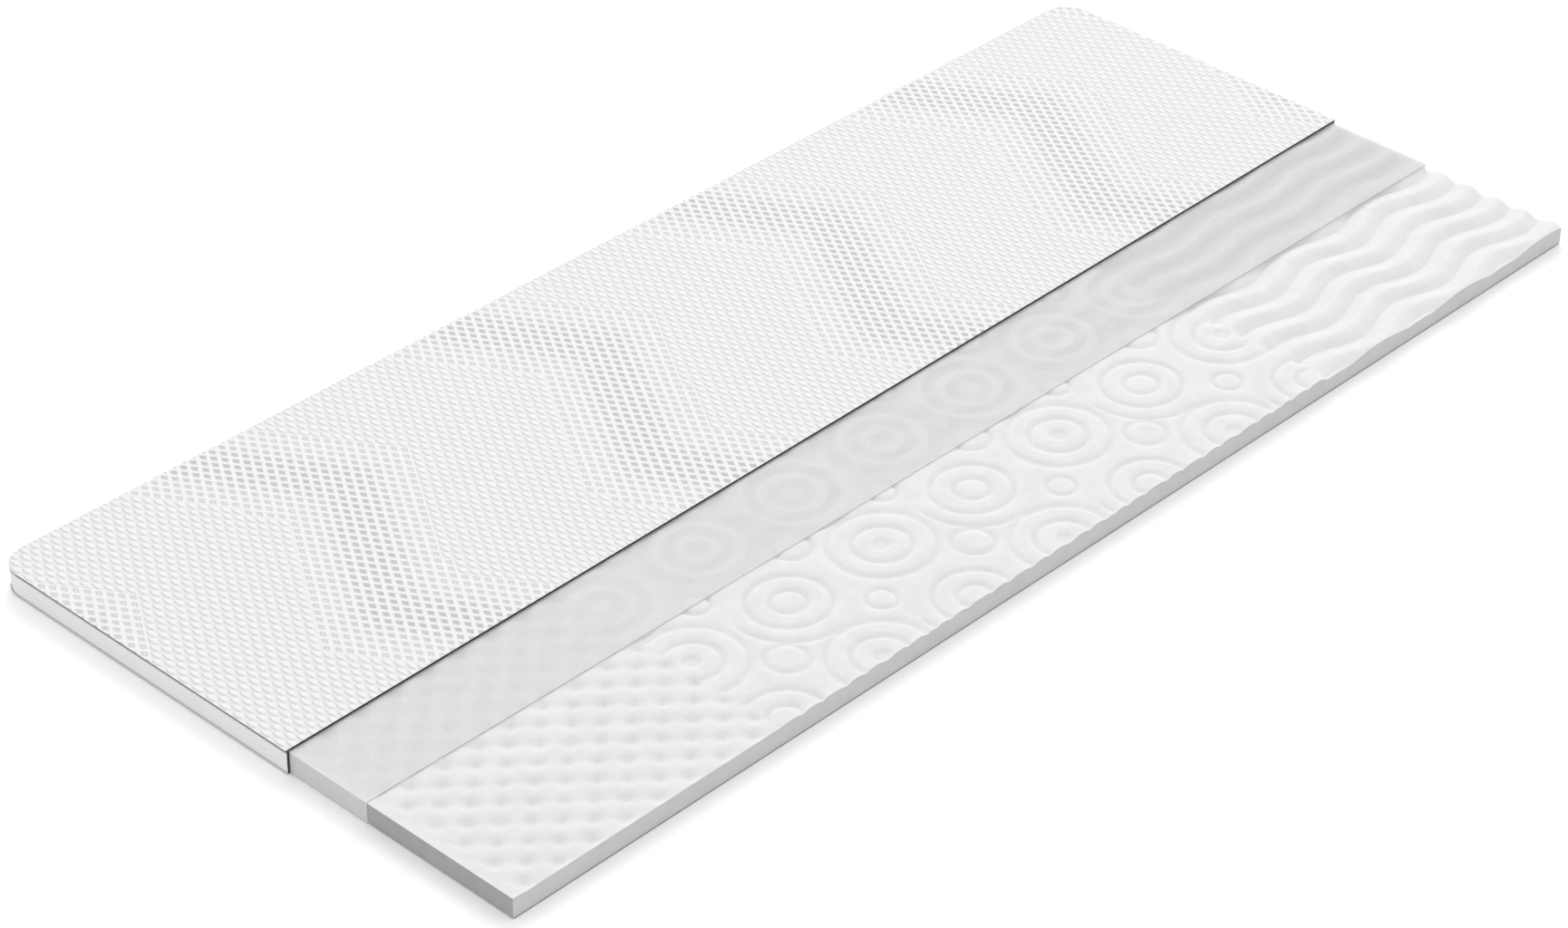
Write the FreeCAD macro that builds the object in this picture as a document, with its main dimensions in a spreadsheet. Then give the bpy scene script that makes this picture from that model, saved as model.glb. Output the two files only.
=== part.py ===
import FreeCAD, Part
import math
import os

import Sketcher

# A thin mattress topper, shown as a sample: the cover and the inner liner are cut away in strips,
# so that the profiled foam lies bare along one long side.
# X runs along the length from the foot (-X) to the head (+X), Y across it from the bare foam (-Y)
# to the closed long side with the zip (+Y), and Z up. The origin is the middle of the underside.

doc = FreeCAD.newDocument("topper")
sheet = doc.addObject("Spreadsheet::Sheet", "Sizes")

DRIVING = {
    # the whole topper, and how round the two corners of the closed side are
    "overall_length": 2000.0,
    "overall_width": 900.0,
    "corner_radius": 38.0,
    # where the cover and the liner are cut, measured from the bare long side, at each end
    "cover_cut_foot": 368.8,
    "cover_cut_head": 395.0,
    "liner_cut_foot": 237.4,
    "liner_cut_head": 230.8,
    # layers, from the floor up
    "base_thickness": 1.4,
    "liner_base_thickness": 0.4,
    "foam_thickness": 28.8,
    "liner_thickness": 0.5,
    "backing_thickness": 0.5,
    "spacer_thickness": 2.2,
    "knit_thickness": 1.4,
    "layer_gap": 0.2,
    # the border, the lip of the top panel over it, and its two seams
    "border_thickness": 3.6,
    "lip": 1.0,
    "seam_relief": 0.1,
    "welt_height": 1.6,
    "binding_lift": 0.4,
    "binding_height": 2.6,
    # the zip in the closed side: the opening, the coils, the tapes and the stops
    "zip_end_distance": 100.0,
    "zip_slot": 11.0,
    "zip_tail": 20.0,
    "coil_gap": 0.2,
    "coil_width": 2.8,
    "coil_depth": 2.2,
    "tape_width": 9.0,
    "tape_thickness": 0.6,
    "tape_overrun": 6.0,
    "top_stop_length": 3.0,
    "top_stop_width": 2.0,
    "bottom_stop_length": 3.5,
    "bottom_stop_depth": 2.6,
    # the slider
    "slider_length": 9.0,
    "slider_plate": 1.0,
    "slider_wall": 1.0,
    "slider_tape_slit": 1.4,
    "slider_neck_length": 2.2,
    "slider_neck_width": 1.8,
    "slider_nose": 0.2,
    "slider_round": 0.6,
    "running_clearance": 0.3,
    "side_clearance": 0.5,
    # the bail on the slider, and the pull that turns in it
    "bail_length": 2.8,
    "bail_width": 1.6,
    "bail_height": 2.6,
    "pin_radius": 0.7,
    "pin_clearance": 0.25,
    "pin_lift": 1.2,
    "pull_length": 20.0,
    "pull_width": 5.0,
    "pull_thickness": 1.2,
    "pull_root": 2.4,
    "pull_hole_radius": 1.1,
    "pull_hole_inset": 3.4,
    "pull_round": 1.8,
    # the blank care label, sewn into the top seam beside the zip
    "label_width": 30.0,
    "label_drop": 20.0,
    "label_thickness": 0.4,
    "label_from_corner": 7.0,
}

for row, (alias, number) in enumerate(DRIVING.items(), start=1):
    sheet.set(f"A{row}", alias)
    sheet.set(f"B{row}", str(number))
    sheet.setAlias(f"B{row}", alias)
doc.recompute()


def size(name):
    """The expression that reads one driving dimension."""
    return f"Sizes.{name}"


def worked_out(expression):
    """What an expression on the sheet comes to, in millimetres."""
    return float(sheet.evalExpression(expression))


# Heights: each layer lies a small gap above the one below it.
GAP = size("layer_gap")
LINER_BASE_Z = f"({size('base_thickness')} + {GAP})"
FOAM_Z = f"({LINER_BASE_Z} + {size('liner_base_thickness')} + {GAP})"
LINER_TOP_Z = f"({FOAM_Z} + {size('foam_thickness')} + {GAP})"
BACKING_Z = f"({LINER_TOP_Z} + {size('liner_thickness')} + {GAP})"
SPACER_Z = f"({BACKING_Z} + {size('backing_thickness')})"
KNIT_Z = f"({SPACER_Z} + {size('spacer_thickness')})"

# Insets from the outline of the top panel, at the two ends and on the closed side. The closed side
# leaves room for the zip between the border and the liner.
NONE = "0"
BORDER_OUT = size("lip")
BORDER_IN = f"({BORDER_OUT} + {size('border_thickness')})"
ZIP_INSET = f"({BORDER_IN} + {GAP} + {size('tape_thickness')} / 2)"
SLIDER_HALF_DEPTH = f"({size('coil_depth')} / 2 + {size('running_clearance')} + {size('slider_plate')})"
LINER_END = f"({BORDER_IN} + {GAP})"
LINER_SIDE = f"({ZIP_INSET} + {SLIDER_HALF_DEPTH} + {size('running_clearance')})"
LINER_END_IN = f"({LINER_END} + {size('liner_thickness')})"
LINER_SIDE_IN = f"({LINER_SIDE} + {size('liner_thickness')})"
FOAM_END = f"({LINER_END_IN} + {GAP})"
FOAM_SIDE = f"({LINER_SIDE_IN} + {GAP})"

# The cuts, as distances from the bare long side.
COVER_CUTS = (size("cover_cut_foot"), size("cover_cut_head"))
LINER_CUTS = (size("liner_cut_foot"), size("liner_cut_head"))
NO_CUTS = (NONE, NONE)

# The zip's middle: its plane, its height and how far its opening and its coils reach along X.
ZIP_Y = f"({size('overall_width')} / 2 - {ZIP_INSET})"
ZIP_Z = f"(({size('base_thickness')} + {BACKING_Z}) / 2)"
ZIP_HALF = f"({size('overall_length')} / 2 - {size('zip_end_distance')})"
COIL_HALF = f"({ZIP_HALF} - {size('zip_tail')})"
COIL_OUT = f"({size('coil_gap')} / 2 + {size('coil_width')})"


def origin_plane(body, role):
    """One of a body's own three origin planes."""
    return next(plane for plane in body.Origin.OriginFeatures if plane.Role == role)


def new_sketch(body, name, role):
    sketch = body.newObject("Sketcher::SketchObject", name)
    sketch.AttachmentSupport = (origin_plane(body, role), [""])
    sketch.MapMode = "FlatFace"
    return sketch


def bind(sketch, kind, first, second, expression):
    """Adds one dimension between two points of a sketch, (geometry, point) each, and binds it."""
    number = sketch.addConstraint(Sketcher.Constraint(kind, *first, *second, worked_out(expression)))
    sketch.setExpression(f"Constraints[{number}]", expression)


SKETCH_ORIGIN = (-1, 1)
START, END, MIDDLE = 1, 2, 3
OVERCUT = 1.0


def outline_sketch(body, name, end_inset, side_inset, cuts):
    """The plan of a layer: an edge along the cut, straight ends and side, and two round corners."""
    half = f"({size('overall_length')} / 2 - {end_inset})"
    side = f"({size('overall_width')} / 2 - {side_inset})"
    radius = f"({size('corner_radius')} - {end_inset})"
    depths = [f"({size('overall_width')} - {side_inset} - {cut})" for cut in cuts]
    x, y, r = worked_out(half), worked_out(side), worked_out(radius)
    foot, head = (y - worked_out(depth) for depth in depths)
    up = FreeCAD.Vector(0, 0, 1)

    def point(px, py):
        return FreeCAD.Vector(px, py, 0)

    def round_at(px, start):
        return Part.ArcOfCircle(Part.Circle(point(px, y - r), up, r), start, start + math.pi / 2)

    sketch = new_sketch(body, name, "XY_Plane")
    cut, head_end, head_round, long_side, foot_round, foot_end = sketch.addGeometry([
        Part.LineSegment(point(-x, foot), point(x, head)),
        Part.LineSegment(point(x, head), point(x, y - r)),
        round_at(x - r, 0),
        Part.LineSegment(point(x - r, y), point(r - x, y)),
        round_at(r - x, math.pi / 2),
        Part.LineSegment(point(-x, y - r), point(-x, foot)),
    ])
    sketch.addConstraint([
        Sketcher.Constraint("Coincident", cut, END, head_end, START),
        Sketcher.Constraint("Tangent", head_end, END, head_round, START),
        Sketcher.Constraint("Tangent", head_round, END, long_side, START),
        Sketcher.Constraint("Tangent", long_side, END, foot_round, START),
        Sketcher.Constraint("Tangent", foot_round, END, foot_end, START),
        Sketcher.Constraint("Coincident", foot_end, END, cut, START),
        Sketcher.Constraint("Vertical", head_end),
        Sketcher.Constraint("Vertical", foot_end),
        Sketcher.Constraint("Horizontal", long_side),
        Sketcher.Constraint("Equal", head_round, foot_round),
    ])
    number = sketch.addConstraint(Sketcher.Constraint("Radius", head_round, r))
    sketch.setExpression(f"Constraints[{number}]", radius)
    bind(sketch, "DistanceX", SKETCH_ORIGIN, (cut, END), half)
    bind(sketch, "DistanceX", (cut, START), SKETCH_ORIGIN, half)
    bind(sketch, "DistanceY", SKETCH_ORIGIN, (long_side, START), side)
    bind(sketch, "DistanceY", (cut, START), (long_side, END), depths[0])
    bind(sketch, "DistanceY", (cut, END), (long_side, START), depths[1])
    return sketch


def rectangle_sketch(body, name, role, low, high):
    """A rectangle between two corners, each a pair of expressions that grow from low to high."""
    (x0, y0), (x1, y1) = low, high
    ax, ay, bx, by = (worked_out(e) for e in (x0, y0, x1, y1))
    sketch = new_sketch(body, name, role)
    corners = [FreeCAD.Vector(*c, 0) for c in ((ax, ay), (bx, ay), (bx, by), (ax, by))]
    count = len(corners)
    sides = sketch.addGeometry(
        [Part.LineSegment(corners[i], corners[(i + 1) % count]) for i in range(count)]
    )
    for i, side in enumerate(sides):
        following = sides[(i + 1) % count]
        sketch.addConstraint(Sketcher.Constraint("Coincident", side, END, following, START))
        sketch.addConstraint(Sketcher.Constraint("Vertical" if i % 2 else "Horizontal", side))
    for kind, corner, expression in (
        ("DistanceX", (sides[0], START), x0),
        ("DistanceY", (sides[0], START), y0),
        ("DistanceX", (sides[2], START), x1),
        ("DistanceY", (sides[2], START), y1),
    ):
        bind(sketch, kind, SKETCH_ORIGIN, corner, expression)
    return sketch


def circle_sketch(body, name, role, centre, radius):
    """A circle at a pair of expressions, with its radius bound too."""
    sketch = new_sketch(body, name, role)
    middle = FreeCAD.Vector(*(worked_out(e) for e in centre), 0)
    circle = sketch.addGeometry(
        Part.Circle(middle, FreeCAD.Vector(0, 0, 1), worked_out(radius))
    )
    number = sketch.addConstraint(Sketcher.Constraint("Radius", circle, worked_out(radius)))
    sketch.setExpression(f"Constraints[{number}]", radius)
    for kind, expression in zip(("DistanceX", "DistanceY"), centre):
        bind(sketch, kind, SKETCH_ORIGIN, (circle, MIDDLE), expression)
    return sketch


def pad(body, name, sketch, length, midplane=False):
    feature = body.newObject("PartDesign::Pad", name)
    feature.Profile = sketch
    feature.SideType = "Symmetric" if midplane else "One side"
    feature.setExpression("Length", length)
    return feature


def cut_through(body, name, sketch):
    """A pocket through the whole body, both ways from its sketch."""
    feature = body.newObject("PartDesign::Pocket", name)
    feature.Profile = sketch
    feature.Type = "ThroughAll"
    feature.SideType = "Symmetric"
    return feature


def edges_along_y(shape):
    """The names of a shape's straight edges along Y, with each edge."""
    return [
        (f"Edge{number}", edge)
        for number, edge in enumerate(shape.Edges, start=1)
        if edge.tangentAt(edge.FirstParameter).isParallel(FreeCAD.Vector(0, 1, 0), 0.01)
    ]


def round_edges(body, name, base, edges, radius):
    fillet = body.newObject("PartDesign::Fillet", name)
    fillet.Base = (base, edges)
    fillet.setExpression("Radius", radius)
    return fillet


def place(thing, x=NONE, y=NONE, z=NONE):
    for axis, expression in zip("xyz", (x, y, z)):
        thing.setExpression(f"Placement.Base.{axis}", expression)


sub_parts = []


def sub_part(thing, label):
    thing.Label = label
    sub_parts.append(thing)
    return thing


def layer(label, end_inset, side_inset, cuts, z, thickness):
    """A flat layer over the whole plan, up to its cut."""
    body = doc.addObject("PartDesign::Body", f"{label}_body")
    outline = outline_sketch(body, f"{label}_outline", end_inset, side_inset, cuts)
    pad(body, f"{label}_sheet", outline, thickness)
    place(body, z=z)
    return sub_part(body, label)


def band(label, outer, inner, cuts, z, height):
    """A band that stands round both ends and the closed side: the plan less its inside.

    outer and inner are (end inset, side inset). The inside runs on past the cut.
    """
    body = doc.addObject("PartDesign::Body", f"{label}_body")
    outline = outline_sketch(body, f"{label}_outline", *outer, cuts)
    pad(body, f"{label}_block", outline, height)
    inside = outline_sketch(body, f"{label}_inside", *inner, NO_CUTS)
    doc.recompute()
    cut_through(body, f"{label}_hollow", inside)
    place(body, z=z)
    return body


def box(label, low, high):
    """A rectangular block between two corners, each three expressions."""
    block = doc.addObject("Part::Box", f"{label}_block")
    for side, a, b in zip(("Length", "Width", "Height"), low, high):
        block.setExpression(side, f"{b} - ({a})")
    place(block, *low)
    return block


# --- Layers, from the floor up -------------------------------------------------------------

layer("cover_bottom", BORDER_OUT, BORDER_OUT, COVER_CUTS, NONE, size("base_thickness"))
layer("liner_bottom", LINER_END, LINER_SIDE, LINER_CUTS, LINER_BASE_Z, size("liner_base_thickness"))
layer("foam_core", FOAM_END, FOAM_SIDE, NO_CUTS, FOAM_Z, size("foam_thickness"))
layer("liner_top", LINER_END, LINER_SIDE, LINER_CUTS, LINER_TOP_Z, size("liner_thickness"))
layer("cover_top_backing", BORDER_OUT, BORDER_OUT, COVER_CUTS, BACKING_Z, size("backing_thickness"))
layer("cover_top_spacer", BORDER_OUT, BORDER_OUT, COVER_CUTS, SPACER_Z, size("spacer_thickness"))
layer("cover_top_knit", NONE, NONE, COVER_CUTS, KNIT_Z, size("knit_thickness"))

# --- The liner's side, the seams of the cover and its border --------------------------------

LINER_SIDE_Z = f"({LINER_BASE_Z} + {size('liner_base_thickness')})"
liner_side = band(
    "liner_side",
    (LINER_END, LINER_SIDE),
    (LINER_END_IN, LINER_SIDE_IN),
    LINER_CUTS,
    LINER_SIDE_Z,
    f"{LINER_TOP_Z} - {LINER_SIDE_Z}",
)
sub_part(liner_side, "liner_side")

for label, z, height in (
    ("top_welt", f"({BACKING_Z} - {size('welt_height')})", size("welt_height")),
    ("bottom_binding", size("binding_lift"), size("binding_height")),
):
    outer = (size("seam_relief"), size("seam_relief"))
    sub_part(band(label, outer, (BORDER_OUT, BORDER_OUT), COVER_CUTS, z, height), label)

BORDER_Z = size("base_thickness")
border_height = f"{BACKING_Z} - {BORDER_Z}"
for label, side in (("border_foot", -1), ("border_head", 1)):
    whole = band(
        f"{label}_band",
        (BORDER_OUT, BORDER_OUT),
        (BORDER_IN, BORDER_IN),
        COVER_CUTS,
        BORDER_Z,
        border_height,
    )
    half_length = f"{size('overall_length')} / 2"
    half_width = f"{size('overall_width')} / 2"
    span = (f"-{half_length}", f"-{ZIP_HALF}") if side < 0 else (ZIP_HALF, half_length)
    end = box(
        f"{label}_end",
        (span[0], f"-{half_width}", NONE),
        (span[1], half_width, f"{BACKING_Z}"),
    )
    common = doc.addObject("Part::Common", f"{label}_piece")
    common.Base = whole
    common.Tool = end
    sub_part(common, label)

# The closed side has the border in two bands, with the zip in the slot between them.
border_out_y = f"({size('overall_width')} / 2 - {BORDER_OUT})"
border_in_y = f"({size('overall_width')} / 2 - {BORDER_IN})"
slot_low = f"({ZIP_Z} - {size('zip_slot')} / 2)"
slot_high = f"({ZIP_Z} + {size('zip_slot')} / 2)"
for label, low_z, high_z in (
    ("border_side_lower", BORDER_Z, slot_low),
    ("border_side_upper", slot_high, BACKING_Z),
):
    side_band = box(label, (f"-{ZIP_HALF}", border_in_y, low_z), (ZIP_HALF, border_out_y, high_z))
    sub_part(side_band, label)

# --- The zip --------------------------------------------------------------------------------

half_coil_depth = f"{size('coil_depth')} / 2"
half_tape = f"{size('tape_thickness')} / 2"
tape_half_length = f"({ZIP_HALF} + {size('tape_overrun')})"


def across_zip(along, depth, near, far, upper):
    """The two corners of a block on one side of the zip's middle line.

    along is its span in X, depth its half depth in Y, and near and far its distances from the line.
    """
    low_z, high_z = (f"({ZIP_Z} + {near})", f"({ZIP_Z} + {far})")
    if not upper:
        low_z, high_z = (f"({ZIP_Z} - {far})", f"({ZIP_Z} - {near})")
    return (along[0], f"({ZIP_Y} - {depth})", low_z), (along[1], f"({ZIP_Y} + {depth})", high_z)


stop_end = f"({COIL_HALF} + {size('slider_neck_length')} + {size('slider_nose')})"
stop_start = f"({stop_end} + 2 * {size('running_clearance')})"
stop_span = (stop_start, f"({stop_start} + {size('top_stop_length')})")
top_stops = []
for upper, name in ((False, "lower"), (True, "upper")):
    tape_span = (f"-{tape_half_length}", tape_half_length)
    tape_far = f"({COIL_OUT} + {size('tape_width')})"
    sub_part(
        box(f"zip_tape_{name}", *across_zip(tape_span, half_tape, COIL_OUT, tape_far, upper)),
        f"zip_tape_{name}",
    )
    coil_span = (f"-{COIL_HALF}", COIL_HALF)
    coil_near = f"{size('coil_gap')} / 2"
    sub_part(
        box(f"zip_coil_{name}", *across_zip(coil_span, half_coil_depth, coil_near, COIL_OUT, upper)),
        f"zip_coil_{name}",
    )
    stop_near = f"({COIL_OUT} - {size('top_stop_width')})"
    top_stops.append(
        box(f"top_stop_{name}", *across_zip(stop_span, half_coil_depth, stop_near, COIL_OUT, upper))
    )

both_stops = doc.addObject("Part::Compound", "top_stop_pair")
both_stops.Links = top_stops
sub_part(both_stops, "zip_top_stops")

half_stop = f"{size('bottom_stop_depth')} / 2"
sub_part(
    box(
        "zip_bottom_stop",
        (
            f"(-{COIL_HALF} - {size('bottom_stop_length')})",
            f"({ZIP_Y} - {half_stop})",
            f"({ZIP_Z} - {COIL_OUT})",
        ),
        (f"(-{COIL_HALF})", f"({ZIP_Y} + {half_stop})", f"({ZIP_Z} + {COIL_OUT})"),
    ),
    "zip_bottom_stop",
)

# The slider's own frame: X along the zip, Y out of the side, Z across the zip. It is closed at
# rest: its neck stands just past the ends of the coils.
NECK_END = f"({size('slider_length')} / 2 - {size('slider_nose')})"
NECK_START = f"({NECK_END} - {size('slider_neck_length')})"
SLIDER_X = f"({COIL_HALF} + {size('running_clearance')} - {NECK_START})"
CHANNEL_HALF_DEPTH = f"({half_coil_depth} + {size('running_clearance')})"
CHANNEL_HALF_WIDTH = f"({COIL_OUT} + {size('side_clearance')})"
SLIDER_HALF_WIDTH = f"({CHANNEL_HALF_WIDTH} + {size('slider_wall')})"
PIVOT_Y = f"({SLIDER_HALF_DEPTH} + {size('pin_lift')})"


def zip_slider():
    """Two plates joined at the neck, with side walls slit for the tapes and a bail on the front."""
    body = doc.addObject("PartDesign::Body", "zip_slider_body")
    half_length = f"{size('slider_length')} / 2"
    shell = rectangle_sketch(
        body,
        "slider_shell",
        "XZ_Plane",
        (f"-{half_length}", f"-{SLIDER_HALF_WIDTH}"),
        (half_length, SLIDER_HALF_WIDTH),
    )
    block = pad(body, "slider_block", shell, f"2 * {SLIDER_HALF_DEPTH}", midplane=True)
    doc.recompute()
    corners = [name for name, edge in edges_along_y(block.Shape)]
    round_edges(body, "slider_rounding", block, corners, size("slider_round"))
    doc.recompute()
    channel = rectangle_sketch(
        body,
        "slider_channel",
        "YZ_Plane",
        (f"-{CHANNEL_HALF_DEPTH}", f"-{CHANNEL_HALF_WIDTH}"),
        (CHANNEL_HALF_DEPTH, CHANNEL_HALF_WIDTH),
    )
    cut_through(body, "slider_channel_cut", channel)
    half_slit = f"{size('slider_tape_slit')} / 2"
    slit = rectangle_sketch(
        body,
        "slider_slit",
        "YZ_Plane",
        (f"-{half_slit}", f"-{SLIDER_HALF_WIDTH} - {OVERCUT}"),
        (half_slit, f"{SLIDER_HALF_WIDTH} + {OVERCUT}"),
    )
    cut_through(body, "slider_slit_cut", slit)
    doc.recompute()
    half_neck = f"{size('slider_neck_width')} / 2"
    neck = rectangle_sketch(
        body,
        "slider_neck_plan",
        "XZ_Plane",
        (NECK_START, f"-{half_neck}"),
        (NECK_END, half_neck),
    )
    pad(body, "slider_neck", neck, f"2 * {SLIDER_HALF_DEPTH}", midplane=True)
    doc.recompute()
    half_bail = f"{size('bail_length')} / 2"
    side_view = rectangle_sketch(
        body,
        "bail_side",
        "XY_Plane",
        (f"-{half_bail}", SLIDER_HALF_DEPTH),
        (half_bail, f"{SLIDER_HALF_DEPTH} + {size('bail_height')}"),
    )
    pad(body, "slider_bail", side_view, size("bail_width"), midplane=True)
    doc.recompute()
    eye = circle_sketch(
        body,
        "bail_eye",
        "XY_Plane",
        (NONE, PIVOT_Y),
        f"{size('pin_radius')} + {size('pin_clearance')}",
    )
    cut_through(body, "bail_eye_cut", eye)
    place(body, SLIDER_X, ZIP_Y, ZIP_Z)
    return sub_part(body, "zip_slider")


def zip_pull():
    """A flat tab that lies back along the zip, with a pin through the bail between its two arms."""
    body = doc.addObject("PartDesign::Body", "zip_pull_body")
    half_width = f"{size('pull_width')} / 2"
    tab = rectangle_sketch(
        body,
        "pull_tab",
        "XZ_Plane",
        (f"-{size('pull_length')}", f"-{half_width}"),
        (size("pin_radius"), half_width),
    )
    plate = pad(body, "pull_plate", tab, size("pull_thickness"), midplane=True)
    doc.recompute()
    tip_edges = [name for name, edge in edges_along_y(plate.Shape) if edge.CenterOfMass.x < 0]
    round_edges(body, "pull_rounding", plate, tip_edges, size("pull_round"))
    doc.recompute()
    half_gap = f"({size('bail_width')} / 2 + {size('running_clearance')})"
    gap = rectangle_sketch(
        body,
        "pull_gap",
        "XZ_Plane",
        (f"-{size('pull_root')}", f"-{half_gap}"),
        (f"{size('pin_radius')} + {OVERCUT}", half_gap),
    )
    cut_through(body, "pull_gap_cut", gap)
    doc.recompute()
    hole_x = f"-({size('pull_length')} - {size('pull_hole_inset')})"
    hole = circle_sketch(body, "pull_hole", "XZ_Plane", (hole_x, NONE), size("pull_hole_radius"))
    cut_through(body, "pull_hole_cut", hole)
    doc.recompute()
    pin = circle_sketch(body, "pull_pin", "XY_Plane", (NONE, NONE), size("pin_radius"))
    pad(body, "pull_pin_pad", pin, size("pull_width"), midplane=True)
    place(body, SLIDER_X, f"{ZIP_Y} + {PIVOT_Y}", ZIP_Z)
    return sub_part(body, "zip_pull")


zip_slider()
zip_pull()

# --- The blank care label -------------------------------------------------------------------

label_x = f"({size('corner_radius')} + {size('label_from_corner')} - {size('overall_length')} / 2)"
label_top = f"({BACKING_Z} - {size('welt_height')})"
sub_part(
    box(
        "care_label",
        (label_x, border_out_y, f"({label_top} - {size('label_drop')})"),
        (
            f"({label_x} + {size('label_width')})",
            f"({border_out_y} + {size('label_thickness')})",
            label_top,
        ),
    ),
    "care_label",
)

# --- Checks and export ----------------------------------------------------------------------

doc.recompute()
for thing in doc.Objects:
    if {"Invalid", "Error"} & set(thing.State):
        raise RuntimeError(f"{thing.Label} failed: {thing.State}")
for piece in sub_parts:
    if piece.Shape.isNull() or not piece.Shape.isValid() or not piece.Shape.Solids:
        raise RuntimeError(f"{piece.Label} has no valid solid")

os.makedirs("parts", exist_ok=True)
for piece in sub_parts:
    piece.Shape.exportStep(f"parts/{piece.Label}.step")
    bounds = piece.Shape.BoundBox
    print(
        f"{piece.Label:20s} {len(piece.Shape.Solids)} solid(s) {piece.Shape.Volume:14.2f} mm3"
        f"  x {bounds.XMin:8.2f} {bounds.XMax:8.2f}  y {bounds.YMin:8.2f} {bounds.YMax:8.2f}"
        f"  z {bounds.ZMin:6.2f} {bounds.ZMax:6.2f}"
    )
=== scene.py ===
import math

import bpy
import numpy as np
from mathutils import Matrix, Vector


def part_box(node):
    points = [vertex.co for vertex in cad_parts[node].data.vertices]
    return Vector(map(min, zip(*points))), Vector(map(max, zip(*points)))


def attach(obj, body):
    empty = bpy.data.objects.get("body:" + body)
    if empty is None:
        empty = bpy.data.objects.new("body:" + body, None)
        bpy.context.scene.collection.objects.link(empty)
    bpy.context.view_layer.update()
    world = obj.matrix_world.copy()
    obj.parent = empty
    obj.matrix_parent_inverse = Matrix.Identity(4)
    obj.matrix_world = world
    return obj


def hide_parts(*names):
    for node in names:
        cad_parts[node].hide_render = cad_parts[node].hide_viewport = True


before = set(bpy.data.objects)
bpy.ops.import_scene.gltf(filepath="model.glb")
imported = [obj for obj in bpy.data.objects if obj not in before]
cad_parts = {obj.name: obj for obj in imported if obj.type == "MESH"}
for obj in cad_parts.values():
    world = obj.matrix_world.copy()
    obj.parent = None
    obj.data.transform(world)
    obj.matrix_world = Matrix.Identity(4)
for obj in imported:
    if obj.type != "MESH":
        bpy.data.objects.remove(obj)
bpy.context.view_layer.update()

BODY = "topper"
MM = 0.001

# Corner radii in plan, in metres, from the outside in.
COVER_CORNER = 0.038
WELT_CORNER = 0.0379
BORDER_CORNER = 0.037
LINER_CORNER = 0.0332
FOAM_CORNER = 0.0325


# --------------------------------------
# Materials
# --------------------------------------
class Nodes:
    """A material's node tree, with short ways to add the nodes that these fabrics need."""

    def __init__(self, name):
        self.material = bpy.data.materials.new(name)
        self.material.use_nodes = True
        self.tree = self.material.node_tree
        self.tree.nodes.clear()
        self.output = self.tree.nodes.new("ShaderNodeOutputMaterial")

    def link(self, source, target):
        self.tree.links.new(source, target)

    def put(self, value, socket):
        """Sets a number or colour straight on the socket, or links another node's output to it."""
        if isinstance(value, bpy.types.NodeSocket):
            self.link(value, socket)
        else:
            socket.default_value = value

    def math(self, operation, a, b=None, c=None):
        """A Math node on numbers or on other nodes' outputs."""
        node = self.tree.nodes.new("ShaderNodeMath")
        node.operation = operation
        for index, value in enumerate((a, b, c)):
            if value is not None:
                self.put(value, node.inputs[index])
        return node.outputs[0]

    def point(self):
        """The point on the object, in metres."""
        return self.tree.nodes.new("ShaderNodeTexCoord").outputs["Object"]

    def place(self):
        """X, Y and Z of the point on the object, in millimetres."""
        split = self.tree.nodes.new("ShaderNodeSeparateXYZ")
        self.link(self.point(), split.inputs[0])
        return [self.math("MULTIPLY", split.outputs[i], 1000.0) for i in range(3)]

    def noise(self, scale, detail=3.0):
        node = self.tree.nodes.new("ShaderNodeTexNoise")
        node.inputs["Scale"].default_value = scale
        node.inputs["Detail"].default_value = detail
        self.link(self.point(), node.inputs["Vector"])
        return node.outputs[0]

    def cells(self, scale):
        node = self.tree.nodes.new("ShaderNodeTexVoronoi")
        node.inputs["Scale"].default_value = scale
        self.link(self.point(), node.inputs["Vector"])
        return node.outputs["Distance"]

    def span(self, value, low, high, to_low=0.0, to_high=1.0):
        """Maps low..high smoothly onto to_low..to_high."""
        node = self.tree.nodes.new("ShaderNodeMapRange")
        node.interpolation_type = "SMOOTHSTEP"
        self.put(value, node.inputs[0])
        for index, number in enumerate((low, high, to_low, to_high)):
            self.put(number, node.inputs[index + 1])
        return node.outputs[0]

    def mix(self, share, first, second):
        node = self.tree.nodes.new("ShaderNodeMix")
        node.data_type = "RGBA"
        self.put(share, node.inputs[0])
        self.put(first, node.inputs[6])
        self.put(second, node.inputs[7])
        return node.outputs[2]

    def bump(self, height, distance, strength):
        node = self.tree.nodes.new("ShaderNodeBump")
        node.inputs["Distance"].default_value = distance
        node.inputs["Strength"].default_value = strength
        self.put(height, node.inputs["Height"])
        return node.outputs[0]

    def principled(self, color, roughness, normal=None, sheen=0.0, metallic=0.0):
        node = self.tree.nodes.new("ShaderNodeBsdfPrincipled")
        self.put(color, node.inputs["Base Color"])
        node.inputs["Roughness"].default_value = roughness
        node.inputs["Metallic"].default_value = metallic
        node.inputs["Specular IOR Level"].default_value = 0.2
        node.inputs["Sheen Weight"].default_value = sheen
        node.inputs["Sheen Roughness"].default_value = 0.5
        if normal is not None:
            self.link(normal, node.inputs["Normal"])
        return node

    def finish(self, shader):
        self.link(shader, self.output.inputs["Surface"])
        return self.material


def grey(level):
    return (level, level, level, 1.0)


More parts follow.
